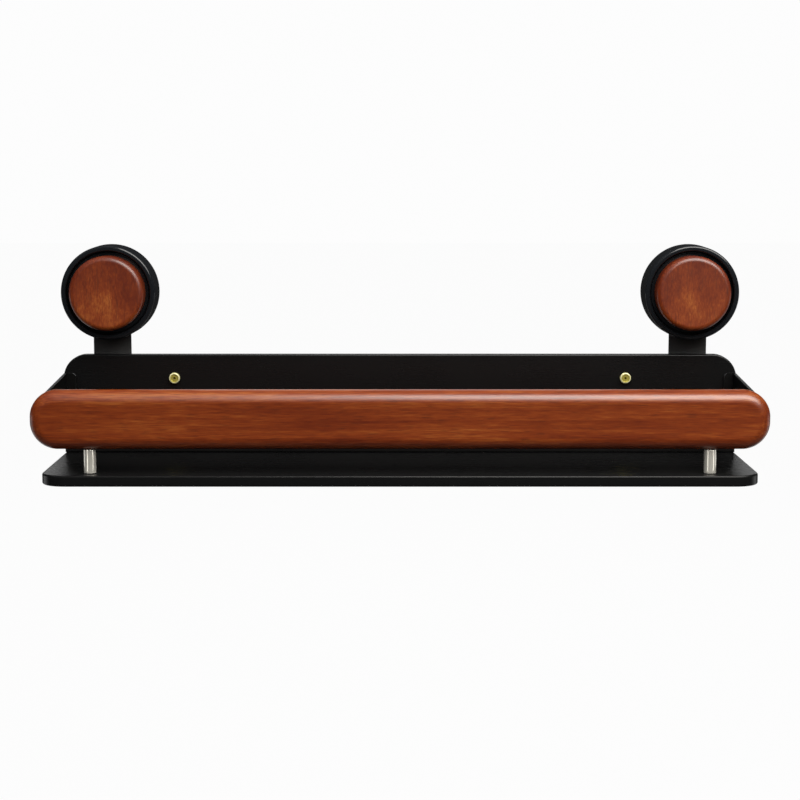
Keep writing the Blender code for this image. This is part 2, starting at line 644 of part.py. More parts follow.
def make_knob(side, sign):
    """The twist knob: a black base with a brass nut, a sliding washer under it and a wooden cap."""
    at = (sign * MOUNT_X, 0, 0)
    washer_back = WELL_BOTTOM + GAP
    washer_front = washer_back + WASHER_THICKNESS
    outline = [
        (WASHER_OUTER, washer_front),
        (WASHER_OUTER, washer_back),
        (WASHER_INNER, washer_back),
        (WASHER_INNER, washer_front),
    ]
    place(turned("thrust_washer_" + side, outline, 24, WHITE_ACETAL, ring=True), at, "front")
    flange = WELL_RADIUS - KNOB_CLEARANCE
    bore = STUD_RADIUS + PLAY
    outline = [
        (KNOB_SPIGOT_RADIUS, KNOB_SPIGOT_FRONT),
        (KNOB_SPIGOT_RADIUS, KNOB_FLANGE),
        (flange - KNOB_BEVEL, KNOB_FLANGE),
        (flange, KNOB_FLANGE - KNOB_BEVEL),
        (flange, KNOB_BACK),
        (bore, KNOB_BACK),
        (bore, KNOB_SPIGOT_FRONT),
    ]
    base = place(turned("knob_base_" + side, outline, 36, BLACK_PLASTIC, ring=True), at, "front")
    nut_back = KNOB_BACK + GAP
    nut_front = nut_back + NUT_LENGTH
    pocket = NUT_RADIUS + GAP / math.cos(math.pi / 6)
    cut(base, drill("nut_pocket_" + side, pocket, KNOB_BACK - NUT_LENGTH, nut_front + GAP, at, "front", 6))
    outline = [(0, nut_front), (NUT_RADIUS, nut_front), (NUT_RADIUS, nut_back), (0, nut_back)]
    nut = place(turned("knob_nut_" + side, outline, 6, BRASS), at, "front")
    cut(nut, drill("nut_bore_" + side, bore, 0, 2 * nut_front, at, "front", 12))
    recess = KNOB_SPIGOT_RADIUS + GAP
    ceiling = KNOB_SPIGOT_FRONT + GAP
    foot = KNOB_BEVEL / 2
    corner = (KNOB_RADIUS - KNOB_EDGE, KNOB_CAP_FRONT - KNOB_EDGE)
    outline = [(0, KNOB_CAP_FRONT)] + arc(corner, KNOB_EDGE, 90, 0, 4) + [
        (KNOB_RADIUS, KNOB_CAP_BACK + foot),
        (KNOB_RADIUS - foot, KNOB_CAP_BACK),
        (recess, KNOB_CAP_BACK),
        (recess, ceiling),
        (0, ceiling),
    ]
    place(turned("knob_cap_" + side, outline, 44, RED_WOOD), at, "front")


def make_bumper(side, sign):
    """A rubber bumper stuck to the back of the plate, in line with the suction pads' faces."""
    height = PLATE_BACK - GAP
    outline = [
        (0, height),
        (BUMPER_RADIUS, height),
        (BUMPER_RADIUS, BUMPER_EDGE),
        (BUMPER_RADIUS - BUMPER_EDGE, 0),
        (0, 0),
    ]
    at = (sign * MOUNT_X, 0, BUMPER_HEIGHT)
    place(turned("wall_bumper_" + side, outline, 20, BLACK_RUBBER), at, "front")


def make_board_screws():
    """The countersunk screws that hold the plate, driven up through the shelf."""
    for number, x in board_screw_places():
        at = (x, -PLATE_MIDDLE, SHELF_BOTTOM + GAP)
        length = BOARD_SCREW_LENGTH - GAP
        flat_screw(f"board_screw_{number}", BOARD_HEAD, length, at, "down", ZINC_STEEL)


make_shelf()
make_plate()
make_rail()
make_board_screws()
for side, sign in SIDES:
    make_post(side, sign)
    make_guard(side, sign)
    make_hanger(side, sign)
    make_housing(side, sign)
    make_pad(side, sign)
    make_stud(side, sign)
    make_knob(side, sign)
    make_bumper(side, sign)

# Settle every part: its modifiers become its mesh, and round walls are shaded smooth.
bpy.context.view_layer.update()
graph = bpy.context.evaluated_depsgraph_get()
settled = {}
for part in parts.objects:
    settled[part] = bpy.data.meshes.new_from_object(part.evaluated_get(graph))
for part, mesh in settled.items():
    part.modifiers.clear()
    part.data = mesh
    mesh.name = part.name
    mesh.shade_smooth()
    mesh.set_sharp_from_angle(angle=math.radians(35))
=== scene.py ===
"""A wall ledge of black boards with a red-brown wooden guard rail, on two twist-lock suction mounts.

Metres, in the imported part's own frame: +X to the right, +Y into the wall, +Z up.
"""

import math

import bmesh
import bpy
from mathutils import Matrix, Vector


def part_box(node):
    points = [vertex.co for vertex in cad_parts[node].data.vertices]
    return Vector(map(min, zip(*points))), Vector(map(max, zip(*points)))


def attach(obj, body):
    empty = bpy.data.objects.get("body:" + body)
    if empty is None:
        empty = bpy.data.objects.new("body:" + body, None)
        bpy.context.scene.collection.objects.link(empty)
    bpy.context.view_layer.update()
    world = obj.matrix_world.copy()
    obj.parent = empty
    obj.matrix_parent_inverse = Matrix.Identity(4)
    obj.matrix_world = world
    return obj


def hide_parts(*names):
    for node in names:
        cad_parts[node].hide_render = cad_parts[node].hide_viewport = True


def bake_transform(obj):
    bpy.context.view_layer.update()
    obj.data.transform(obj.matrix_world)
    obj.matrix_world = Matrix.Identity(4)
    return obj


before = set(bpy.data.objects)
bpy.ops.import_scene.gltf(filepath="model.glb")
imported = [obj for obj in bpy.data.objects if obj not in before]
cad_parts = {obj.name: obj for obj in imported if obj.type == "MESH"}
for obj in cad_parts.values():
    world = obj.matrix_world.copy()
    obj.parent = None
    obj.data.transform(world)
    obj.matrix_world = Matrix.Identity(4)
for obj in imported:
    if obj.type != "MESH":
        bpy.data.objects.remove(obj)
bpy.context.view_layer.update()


# The camera stands a little above the ledge and looks slightly down on it through a long lens, as for
# a catalogue picture.
bpy.ops.object.camera_add(location=(0, -1.3694, 0.0902), rotation=(math.radians(82.916), 0, 0))
camera = bpy.context.object
camera.data.lens = 85
camera.data.sensor_width = 36
bpy.context.scene.camera = camera
bpy.context.scene.view_settings.view_transform = "Standard"


# The studio is a pale floor well below the ledge, a white sweep behind it and a dim room in front. Floor
# and sweep show to the camera, to gloss and through clear pieces, and the floor takes the shadow.
class Shade:
    """One output of a node. Sums on it add Math nodes, and add() makes any other node."""

    def __init__(self, tree, output=None):
        self.tree = tree
        self.output = output

    def __getitem__(self, name):
        return Shade(self.tree, self.output.node.outputs[name])

    def add(self, kind, settings, sockets, output=0):
        node = self.tree.nodes.new("ShaderNode" + kind)
        for name, value in settings.items():
            if name == "stops":
                ramp = node.color_ramp.elements
                ramp[0].position = value[0][0]
                ramp[1].position = value[-1][0]
                for position, colour in value[1:-1]:
                    ramp.new(position)
                for stop, (position, colour) in zip(ramp, value):
                    stop.color = (*colour, 1)
            else:
                setattr(node, name, value)
        for name, value in sockets.items():
            if isinstance(value, Shade):
                self.tree.links.new(value.output, node.inputs[name])
            else:
                node.inputs[name].default_value = value
        return Shade(self.tree, node.outputs[output])

    def feed(self, socket, node="Principled BSDF"):
        self.tree.links.new(self.output, self.tree.nodes[node].inputs[socket])

    def sum(self, operation, first, second):
        return self.add("Math", {"operation": operation}, {0: first, 1: second})

    def __add__(self, other):
        return self.sum("ADD", self, other)

    def __sub__(self, other):
        return self.sum("SUBTRACT", self, other)

    def __rsub__(self, other):
        return self.sum("SUBTRACT", other, self)

    def __mul__(self, other):
        return self.sum("MULTIPLY", self, other)

    __radd__ = __add__
    __rmul__ = __mul__


def shown(start):
    """1 for the rays that show the background: the camera's, glossy ones and those through clear pieces."""
    path = start.add("LightPath", {}, {}, "Is Camera Ray")
    other = path.sum("MAXIMUM", path["Is Glossy Ray"], path["Is Transmission Ray"])
    return path.sum("MAXIMUM", path, other)


def dim_in_front(place, near, far, white):
    """The strength of the white behind the ledge, which falls off in front of it for all but the camera."""
    depth = place.add("SeparateXYZ", {}, {0: place}, "Y")
    span = {0: depth, 1: near, 2: far, 3: 0.03, 4: white}
    behind = place.add("MapRange", {"interpolation_type": "SMOOTHSTEP"}, span)
    return place.sum("MAXIMUM", behind, white * place.add("LightPath", {}, {}, "Is Camera Ray"))


bpy.ops.mesh.primitive_plane_add(size=16, location=(0, 7.6, -0.6))
floor = bpy.context.object
floor.name = "floor"
bpy.ops.object.transform_apply()
pale_floor = bpy.data.materials.new("pale_floor")
pale_floor.use_nodes = True
start = Shade(pale_floor.node_tree)
shader = pale_floor.node_tree.nodes["Principled BSDF"]
shader.inputs["Base Color"].default_value = (0.5, 0.5, 0.5, 1)
shader.inputs["Roughness"].default_value = 0.8
lit = Shade(pale_floor.node_tree, shader.outputs[0])
where = start.add("TexCoord", {}, {}, "Object")
white = start.add("Emission", {}, {"Color": (1, 1, 1, 1), "Strength": dim_in_front(where, 0.1, 0.6, 0.987)})
start.add("MixShader", {}, {0: 0.98 * shown(start), 1: lit, 2: white}).feed("Surface", "Material Output")
floor.data.materials.append(pale_floor)

studio = bpy.data.worlds.new("studio")
studio.use_nodes = True
bpy.context.scene.world = studio
start = Shade(studio.node_tree)
look = start.add("TexCoord", {}, {}, "Generated")
up = look.add("SeparateXYZ", {}, {0: look}, "Z")
overhead = start.add("MapRange", {}, {0: up, 1: -0.7, 2: 1, 3: 0.04, 4: 0.2})
room = start.add("Background", {}, {"Color": (1, 1, 1, 1), "Strength": overhead})
rise = {0: up, 1: 0.3, 2: 0.9, 3: 0, 4: 0.2}
ceiling = start.add("MapRange", {"interpolation_type": "SMOOTHSTEP"}, rise)
seen = ceiling.sum("MAXIMUM", ceiling, dim_in_front(look, 0.75, 0.95, 0.98))
sweep = start.add("Background", {}, {"Color": (1, 1, 1, 1), "Strength": seen})
start.add("MixShader", {}, {0: shown(start), 1: room, 2: sweep}).feed("Surface", "World Output")


# Dark flags stand behind the ledge, beside it and behind the two drums, where only gloss sees them. They
# keep the white sweep out of black surfaces and the ends of the rail, and let it into the rail's top edge
# and, through a gap beside the plate, into the ends of the shelf.
flag_cloth = bpy.data.materials.new("flag_cloth")
flag_cloth.use_nodes = True
cloth = {"Color": (1, 1, 1, 1), "Strength": 0.02}
Shade(flag_cloth.node_tree).add("Emission", {}, cloth).feed("Surface", "Material Output")
for place, size in (
    ((0, 0.45, -0.165), (0.66, 0.37, 1)),
    ((-0.63, 0.45, -0.195), (0.6, 0.31, 1)),
    ((0.63, 0.45, -0.195), (0.6, 0.31, 1)),
    ((-0.63, 0.45, 0.24), (0.6, 0.42, 1)),
    ((0.63, 0.45, 0.24), (0.6, 0.42, 1)),
    ((-0.2, 0.012, 0.038), (0.094, 0.096, 1)),
    ((0.2, 0.012, 0.038), (0.094, 0.096, 1)),
):
    bpy.ops.mesh.primitive_plane_add(size=1, location=place, rotation=(math.pi / 2, 0, 0))
    flag = bpy.context.object
    flag.name = "flag"
    flag.scale = size
    bpy.ops.object.transform_apply()
    flag.data.materials.append(flag_cloth)
    flag.visible_camera = False
    flag.visible_diffuse = False
    flag.visible_shadow = False
    flag.visible_transmission = False


# A large warm softbox above and in front, on the right, draws the highlights on the rail and the drums,
# with a dim apron lower down. Two tall strips stand left and right for the posts.
def lamp(name, place, aim, size, watts, warmth):
    """A square-edged softbox that points at a spot on the ledge, out of the camera's sight."""
    turn = (Vector(aim) - Vector(place)).to_track_quat("-Z", "Y").to_euler()
    bpy.ops.object.light_add(type="AREA", location=place, rotation=turn)
    light = bpy.context.object
    light.name = name
    light.visible_camera = False
    light.data.shape = "RECTANGLE"
    light.data.size = size[0]
    light.data.size_y = size[1]
    light.data.energy = watts
    light.data.color = warmth
    return light


warm_white = (1, 0.975, 0.93)
lamp("key_softbox", (0.8, -0.92, 1.05), (0.8, -0.08, -0.06), (1.74, 1.0), 40, warm_white)
lamp("key_apron", (0.5, -1.4, 0.6), (0.5, -0.08, -0.06), (1.6, 0.45), 1.7, warm_white)
strips = [
    lamp("left_strip", (-1.1, -1.25, -0.15), (0, -0.08, -0.1), (0.16, 1.2), 2.6, warm_white),
    lamp("right_strip", (1.5, -0.9, -0.15), (0, -0.08, -0.1), (0.16, 1.2), 2.6, warm_white),
]


# Wide fills light the colours from the left and above, from lower down in front and from behind. Gloss
# doesn't show them, so that the lacquer stays clear.
for name, place, size, watts in (
    ("high_fill", (-0.8, -0.75, 2.2), (2.4, 1.6), 30),
    ("front_fill", (-1.3, -2.1, 1.1), (1.6, 1.2), 12),
    ("back_fill", (0.5, 2.0, 1.2), (2, 1.5), 38),
):
    lamp(name, place, (0, -0.05, -0.05), size, watts, (1, 1, 1)).visible_glossy = False


# The back plate is a board with its upper corners rounded and its edges eased, in satin black lacquer.
# It stands on the rear edge of the shelf, held by screws from below.
def in_hand(piece):
    """Take one piece, and nothing else, in hand."""
    bpy.ops.object.select_all(action="DESELECT")
    piece.select_set(True)
    bpy.context.view_layer.objects.active = piece


def block(name, low, high):
    """Start a piece in hand as a box between two corners."""
    bpy.ops.object.select_all(action="DESELECT")
    bpy.ops.mesh.primitive_cube_add(size=1, location=(low + high) / 2, scale=high - low)
    bpy.context.object.name = name
    bpy.ops.object.transform_apply()
    bpy.ops.object.mode_set(mode="EDIT")
    return bpy.context.object


def choose(kind, test):
    """Select the edges or faces of the piece in hand whose middle and direction pass a test."""
    bpy.ops.mesh.select_mode(type=kind)
    bpy.ops.mesh.select_all(action="DESELECT")
    mesh = bmesh.from_edit_mesh(bpy.context.object.data)
    if kind == "FACE":
        found = [face for face in mesh.faces if test(face.calc_center_median(), face.normal)]
    else:
        ends = {edge: [vert.co for vert in edge.verts] for edge in mesh.edges}
        found = [
            edge
            for edge, (first, second) in ends.items()
            if test((first + second) / 2, (second - first).normalized())
        ]
    for item in found:
        item.select_set(True)
    mesh.select_flush_mode()
    bmesh.update_edit_mesh(bpy.context.object.data)


def round_over(radius, steps):
    """Round the selected edges, or the outline of the selected faces, of the piece in hand."""
    if bpy.context.tool_settings.mesh_select_mode[2]:
        bpy.ops.mesh.region_to_loop()
    bpy.ops.mesh.bevel(offset=radius, segments=steps, profile=0.5, affect="EDGES")


def new_finish(name, constants):
    """A new material with what is the same all over set on its shader, and its Object coordinates."""
    made = bpy.data.materials.new(name)
    made.use_nodes = True
    for socket, value in constants.items():
        made.node_tree.nodes["Principled BSDF"].inputs[socket].default_value = value
    return made, Shade(made.node_tree).add("TexCoord", {}, {}, "Object")


def noise(where, scale, detail=3, rough=0.5):
    """Cloudy noise of a scale in lumps per metre, or of three scales that stretch it."""
    if isinstance(scale, tuple):
        where = where.add("Mapping", {}, {"Vector": where, "Scale": scale})
        scale = 1
    return where.add("TexNoise", {}, {"Vector": where, "Scale": scale, "Detail": detail, "Roughness": rough})


def tint(mask, first, second):
    """One colour where the mask is 0, and another where it is 1."""
    first = first if isinstance(first, Shade) else (*first, 1)
    return mask.add("Mix", {"data_type": "RGBA"}, {0: mask, 6: first, 7: (*second, 1)}, 2)


def bumpy(height, strength, depth):
    """Let a height raise the surface by up to a depth in metres."""
    height.add("Bump", {}, {"Strength": strength, "Distance": depth, "Height": height}).feed("Normal")


def finished(piece, surface, slot, body, *nodes):
    """Smooth a piece, give it its surface, and let it ride on a body in place of its solids."""
    in_hand(piece)
    bpy.ops.object.shade_smooth_by_angle(angle=math.radians(40))
    even = piece.modifiers.new("Even", "WEIGHTED_NORMAL")
    even.keep_sharp = True
    bpy.ops.object.modifier_apply(modifier=even.name)
    piece.data.materials.clear()
    piece.data.materials.append(surface)
    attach(piece, body)
    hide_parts(*nodes)


black_lacquer, where = new_finish("black_lacquer", {"Specular IOR Level": 0.28})
cloud = noise(where, 14, 4)
rubbed = noise(where, (30, 500, 500), 3)
tint(cloud, (0.0043, 0.0044, 0.0046), (0.0062, 0.0062, 0.0064)).feed("Base Color")
(0.21 + 0.08 * cloud + 0.06 * rubbed).feed("Roughness")
bumpy(noise(where, 1100, 2), 0.1, 0.0001)

board_corner = 0.017
board_edge = 0.0012
plate_low, plate_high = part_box("back_plate")
plate = block("plate", plate_low, plate_high)
choose("EDGE", lambda middle, way: abs(way.y) > 0.9 and middle.z > plate_low.z + 0.03)
round_over(board_corner, 18)
choose("FACE", lambda middle, way: abs(way.y) > 0.99)
round_over(board_edge, 4)
bpy.ops.object.mode_set(mode="OBJECT")
finished(plate, black_lacquer, "black_lacquer", "ledge", "back_plate")


# The shelf is a second black board with round front corners. Its underside is countersunk for the four
# screws that go up into the plate and the two that go up through the posts.
def cut_with(piece, tool, operation="DIFFERENCE"):
    """Cut a tool's shape out of a piece, or add it, and take the tool away."""
    change = piece.modifiers.new("Shape", "BOOLEAN")
    change.operation = operation
    change.object = tool
    in_hand(piece)
    bpy.ops.object.modifier_apply(modifier=change.name)
    bpy.data.objects.remove(tool)


def middle_of(node):
    """The middle of a solid's box."""
    low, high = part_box(node)
    return (low + high) / 2


shelf_low, shelf_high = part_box("shelf_board")
shelf = block("shelf", shelf_low, shelf_high)
choose("EDGE", lambda middle, way: abs(way.z) > 0.9 and middle.y < shelf_low.y + 0.03)
round_over(board_corner, 18)
choose("FACE", lambda middle, way: abs(way.z) > 0.99)
round_over(board_edge, 4)
bpy.ops.object.mode_set(mode="OBJECT")
board_screws = [f"board_screw_{number}" for number in range(1, 5)]
sink_wider = 0.0021
sink_narrower = 0.0016
sink_depth = 0.0037
sink_rise = 0.0004
for node in (*board_screws, "post_screw_left", "post_screw_right"):
    low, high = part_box(node)
    head = (high.x - low.x) / 2
    bpy.ops.mesh.primitive_cone_add(
        vertices=48,
        radius1=head + sink_wider,
        radius2=head - sink_narrower,
        depth=sink_depth,
        location=((low.x + high.x) / 2, (low.y + high.y) / 2, shelf_low.z + sink_rise),
    )
    cut_with(shelf, bpy.context.object)
finished(shelf, black_lacquer, "black_lacquer", "ledge", "shelf_board")


# Four countersunk screws of zinc-plated steel hold the plate on the shelf. Only their flat heads show,
# each with a socket for a hexagon key.
def screw(name, head, rise, shank, length, socket, countersunk=False, dish=0):
    """Model a screw upright, with the underside of its head at the origin, and leave it in hand."""
    bpy.ops.object.select_all(action="DESELECT")
    bpy.ops.mesh.primitive_cylinder_add(vertices=48, radius=head, depth=rise, location=(0, 0, rise / 2))
    piece = bpy.context.object
    piece.name = name
    bpy.ops.object.transform_apply()
    bpy.ops.object.mode_set(mode="EDIT")
    choose("FACE", lambda middle, way: way.z < -0.9)
    if countersunk:
        bpy.ops.transform.resize(value=(shank / head, shank / head, 1))
    else:
        bpy.ops.mesh.inset(thickness=head - shank)
    bpy.ops.mesh.extrude_region_move(TRANSFORM_OT_translate={"value": (0, 0, -length)})
    round_over(shank / 4, 2)
    choose("FACE", lambda middle, way: way.z > 0.9 and middle.z > rise * 0.9)
    round_over(0.0002 if countersunk else rise * (0.35 if dish else 0.55), 6)
    if dish:
        choose("FACE", lambda middle, way: way.z > 0.999 and middle.z > rise * 0.9)
        bpy.ops.mesh.inset(thickness=head * 0.06)
        bpy.ops.mesh.inset(thickness=head * 0.12, depth=-dish)
    bpy.ops.object.mode_set(mode="OBJECT")
    bpy.ops.mesh.primitive_cylinder_add(vertices=6, radius=socket, depth=rise, location=(0, 0, rise * 0.85))
    cut_with(piece, bpy.context.object)
    bpy.ops.mesh.primitive_cone_add(
        vertices=24,
        radius1=0,
        radius2=socket * 0.86,
        depth=socket * 0.4,
        location=(0, 0, rise * 0.35 - socket * 0.19),
    )
    cut_with(piece, bpy.context.object)
    return piece


def twin(piece, name, place, turn=(0, 0, 0)):
    """A copy of a piece with its own mesh, turned about the origin and moved to a place."""
    in_hand(piece)
    bpy.ops.object.duplicate()
    copy = bpy.context.object
    copy.name = name
    copy.rotation_euler = turn
    copy.location = place
    bpy.ops.object.transform_apply()
    return copy


zinc_plate, where = new_finish("zinc_plate", {"Metallic": 1})
spangle = noise(where, 700, 3)
tint(spangle, (0.46, 0.47, 0.49), (0.62, 0.63, 0.65)).feed("Base Color")
(0.3 + 0.2 * spangle).feed("Roughness")
bumpy(spangle, 0.06, 0.00005)

board_head = 0.0019
pattern = screw(
    "board_screw",
    head=0.0034,
    rise=board_head,
    shank=0.00175,
    length=0.028,
    socket=0.0016,
    countersunk=True,
)
for number, node in enumerate(board_screws, 1):
    low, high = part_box(node)
    place = (low + high) / 2
    place.z = low.z + board_head
    piece = twin(pattern, f"shelf_screw_{number}", place, (math.pi, 0, 0))
    finished(piece, zinc_plate, "zinc_steel", "ledge", node)
bpy.data.objects.remove(pattern)


# The rail is a bar of red-brown hardwood with half-round ends and bullnose edges, rubbed smooth under a
# clear satin lacquer. Its fibres run along it. A painted highlight pales its upper edge, and painted shade
# darkens its lower one.
def red_wood(name, turn, gloss, grain, shares, extra_tone=None):
    """Lacquered hardwood with its fibres along X after a turn, and an extra tone where one is given:
    on the rail, a painted highlight along its upper edge and painted shade along its lower one.

    The grain holds the scales of broad, streaky and fine noise, and the shares how much of each shows.
    """
    lacquer = {"Specular IOR Level": 0, "Coat Weight": 1, "Coat Roughness": gloss, "Coat IOR": 1.7}
    made, where = new_finish(name, lacquer)
    fibre = where.add("Mapping", {}, {"Vector": where, "Rotation": turn})
    broad = noise(fibre, grain[0], 2)
    streak = noise(fibre, grain[1], 7, 0.62)
    fine = noise(fibre, grain[2], 4, 0.6)
    pores = noise(fibre, (90, 1250, 1250), 2)
    figure = shares[0] * broad + shares[1] * streak + shares[2] * fine - (sum(shares) - 1) / 2
    if extra_tone:
        figure = figure + extra_tone(where)
    stops = [
        (0.33, (0.1, 0.0105, 0.0008)),
        (0.46, (0.158, 0.0225, 0.0018)),
        (0.55, (0.205, 0.034, 0.0035)),
        (0.7, (0.31, 0.082, 0.013)),
    ]
    colour = where.add("ValToRGB", {"stops": stops}, {0: figure})
    open_pores = where.add("MapRange", {}, {0: pores, 1: 0.57, 2: 0.7, 3: 0, 4: 0.6})
    tint(open_pores, colour, (0.07, 0.012, 0.003)).feed("Base Color")
    (0.42 + 0.16 * streak).feed("Roughness")
    bumpy(0.7 * streak + 0.3 * fine, 0.04, 0.0002)
    return made


def painted_edge_light(where):
    """Painted highlight that pales the wood along the rail's upper edge, and painted shade that darkens it
    along the lower one.
    """
    height = where.add("SeparateXYZ", {}, {0: where}, "Z")
    edge = 0.3 * rail_size.z
    smooth = {"interpolation_type": "SMOOTHSTEP"}
    upper = where.add("MapRange", smooth, {0: height, 1: rail_high.z - edge, 2: rail_high.z, 3: 0, 4: 0.075})
    lower = where.add("MapRange", smooth, {0: height, 1: rail_low.z, 2: rail_low.z + edge, 3: -0.03, 4: 0})
    return upper + lower


rail_low, rail_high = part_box("front_rail")
rail_size = rail_high - rail_low
end_flat = 0.003
edge_flat = 0.001
rail = block("rail", rail_low, rail_high)
choose("EDGE", lambda middle, way: abs(way.y) > 0.9)
round_over((rail_size.z - end_flat) / 2, 24)
choose("FACE", lambda middle, way: abs(way.y) > 0.99)
round_over((rail_size.y - edge_flat) / 2, 12)
bpy.ops.object.mode_set(mode="OBJECT")
along = ((9, 120, 120), (9, 480, 480), (70, 1500, 1500))
rail_wood = red_wood("rail_wood", (0, 0, 0), 0.32, along, (0.42, 0.36, 0.6), painted_edge_light)
finished(rail, rail_wood, "red_wood", "ledge", "front_rail")


# Two turned posts of brushed bright steel with eased ends stand on the shelf and hold the rail off it. The
# two strip lamps light the posts alone.
def drum(name, node, axis, sides):
    """Start a piece in hand as a drum along an axis, of the size and in the place of its solid."""
    low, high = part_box(node)
    size = high - low
    bpy.ops.object.select_all(action="DESELECT")
    bpy.ops.mesh.primitive_cylinder_add(
        vertices=sides,
        radius=size.x / 2,
        depth=size[axis],
        location=(low + high) / 2,
        rotation=(math.pi / 2 if axis == 1 else 0, 0, 0),
    )
    bpy.context.object.name = name
    bpy.ops.object.transform_apply()
    bpy.ops.object.mode_set(mode="EDIT")
    return bpy.context.object


def both(piece, stem, node):
    """The piece on the left by its side, and a copy at the place of the same solid on the right."""
    piece.name = f"{stem}_left"
    step = middle_of(f"{node}_right") - middle_of(f"{node}_left")
    return {"left": piece, "right": twin(piece, f"{stem}_right", step)}


def refinish(surface, *nodes):
    """Give solids that stay as they are a better surface."""
    for node in nodes:
        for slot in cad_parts[node].material_slots:
            slot.material = surface


bright_steel, where = new_finish("bright_steel", {"Metallic": 0.6})
lines = noise(where, (5200, 5200, 60), 3)
film = noise(where, 90, 3)
tint(film, (0.74, 0.71, 0.63), (0.84, 0.81, 0.74)).feed("Base Color")
(0.13 + 0.12 * lines).feed("Roughness")
bumpy(lines, 0.08, 0.00006)

post_ease = 0.0003
post = drum("post", "rail_post_left", 2, 64)
choose("FACE", lambda middle, way: abs(way.z) > 0.9)
round_over(post_ease, 3)
bpy.ops.object.mode_set(mode="OBJECT")
posts = bpy.data.collections.new("posts")
for side, piece in both(post, "post", "rail_post").items():
    finished(piece, bright_steel, "chrome", "ledge", f"rail_post_{side}")
    posts.objects.link(piece)
for strip in strips:
    strip.light_linking.receiver_collection = posts


# A long screw, black coated and with its head sunk flush in the underside of the shelf, goes up through
# each post into the rail.
def powder_coat(name, dark, pale):
    """Black powder coat with a fine grain, between a darker and a paler tone, and a painted highlight in
    grey where its edges are marked.
    """
    made, where = new_finish(name, {"Specular IOR Level": 0.22})
    cloud = noise(where, 20, 3)
    plain = tint(cloud, (dark, dark, dark), (pale, pale, pale))
    worn = where.add("Attribute", {"attribute_name": "worn"}, {}, "Fac")
    tint(worn, plain, (0.1, 0.102, 0.106)).feed("Base Color")
    (0.34 + 0.14 * cloud).feed("Roughness")
    bumpy(noise(where, 2600, 2), 0.2, 0.0001)
    return made


black_coat = powder_coat("black_coat", 0.0022, 0.0034)
post_head = 0.0022
pattern = screw(
    "post_screw", head=0.004, rise=post_head, shank=0.002, length=0.0341, socket=0.002, countersunk=True
)
for side in ("left", "right"):
    low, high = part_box(f"post_screw_{side}")
    place = (low + high) / 2
    place.z = low.z + post_head
    piece = twin(pattern, f"post_bolt_{side}", place, (math.pi, 0, 0))
    finished(piece, black_coat, "black_coat", "ledge", f"post_screw_{side}")
bpy.data.objects.remove(pattern)


# The post screws end in two brass inserts, pressed into the underside of the rail with their lower ends
# just inside the wood. The same brass makes the screws on the plate, with a painted highlight on their rims.
brass, where = new_finish("brass", {})
tarnish = noise(where, 420, 3)
# A painted highlight pales and dulls the marked rims, and painted shade darkens the marked sockets.
worn = where.add("Attribute", {"attribute_name": "worn"}, {}, "Fac")
dull = tint(tarnish, (0.64, 0.57, 0.13), (0.5, 0.43, 0.08))
deep = tint(0 - worn, dull, (0.12, 0.09, 0.01))
tint(worn, deep, (0.82, 0.77, 0.42)).feed("Base Color")
(0.62 - 0.4 * worn).feed("Metallic")
(0.26 + 0.16 * tarnish).feed("Roughness")
bumpy(noise(where, 2400, 2), 0.05, 0.00005)

insert_lift = 0.0012
insert_ease = 0.0004
insert = drum("insert", "rail_insert_left", 2, 48)
choose("FACE", lambda middle, way: way.z < -0.9)
bpy.ops.transform.translate(value=(0, 0, insert_lift))
choose("FACE", lambda middle, way: abs(way.z) > 0.9)
round_over(insert_ease, 2)
bpy.ops.object.mode_set(mode="OBJECT")
for side, piece in both(insert, "insert", "rail_insert").items():
    finished(piece, brass, "brass", "ledge", f"rail_insert_{side}")


# The side guards are folded from 2 mm sheet steel and powder coated black. One flange lies on the plate,
# the other on the back of the rail, and the top edge falls towards the rail.
def ease(piece, edge):
    """Round the sharp edges of a piece a little."""
    in_hand(piece)
    soft = piece.modifiers.new("Ease", "BEVEL")
    soft.width = edge
    soft.segments = 2
    soft.limit_method = "ANGLE"
    soft.angle_limit = math.radians(40)
    bpy.ops.object.modifier_apply(modifier=soft.name)


def mirrored(piece, name):
    """A copy of a piece with its own mesh, mirrored to the other side of the ledge."""
    copy = twin(piece, name, (0, 0, 0))
    bpy.ops.object.mode_set(mode="EDIT")
    bpy.ops.mesh.select_all(action="SELECT")
    bpy.ops.transform.resize(value=(-1, 1, 1), center_override=(0, 0, 0))
    bpy.ops.mesh.normals_make_consistent(inside=False)
    bpy.ops.object.mode_set(mode="OBJECT")
    return copy


guard_low, guard_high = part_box("side_guard_right")
guard_middle = (guard_low.x + guard_high.x) / 2
guard_drop = 0.0054
guard_sheet = 0.002
guard_fold = 0.0016
guard_ease = 0.0005
flange_corner = 0.0035
guard = block("guard_right", guard_low, guard_high)
rail_corner = Vector((guard_middle, guard_low.y, guard_high.z))
choose("EDGE", lambda middle, way: (middle - rail_corner).length < 0.001)
bpy.ops.transform.translate(value=(0, 0, -guard_drop))
choose("FACE", lambda middle, way: abs(way.z) > 0.9 or way.x < -0.9)
bpy.ops.mesh.delete(type="FACE")
choose("EDGE", lambda middle, way: abs(way.z) > 0.9 and middle.x < guard_middle)
bpy.ops.mesh.bevel(offset=flange_corner, segments=6, affect="VERTICES")
choose("EDGE", lambda middle, way: abs(way.z) > 0.9 and middle.x > guard_middle)
round_over(guard_fold, 4)
bpy.ops.object.mode_set(mode="OBJECT")
sheet = guard.modifiers.new("Sheet", "SOLIDIFY")
sheet.thickness = guard_sheet
sheet.offset = -1
sheet.use_even_offset = True
bpy.ops.object.modifier_apply(modifier=sheet.name)
ease(guard, guard_ease)
# The eased edges and folds are marked for a painted highlight, a paler grey in the coat.
edges = guard.data.attributes.new("worn", "FLOAT", "POINT")
for vert, mark in zip(guard.data.vertices, edges.data):
    mark.value = max(abs(part) for part in vert.normal) < 0.85
for side, piece in (("right", guard), ("left", mirrored(guard, "guard_left"))):
    finished(piece, black_coat, "black_coat", "ledge", f"side_guard_{side}")


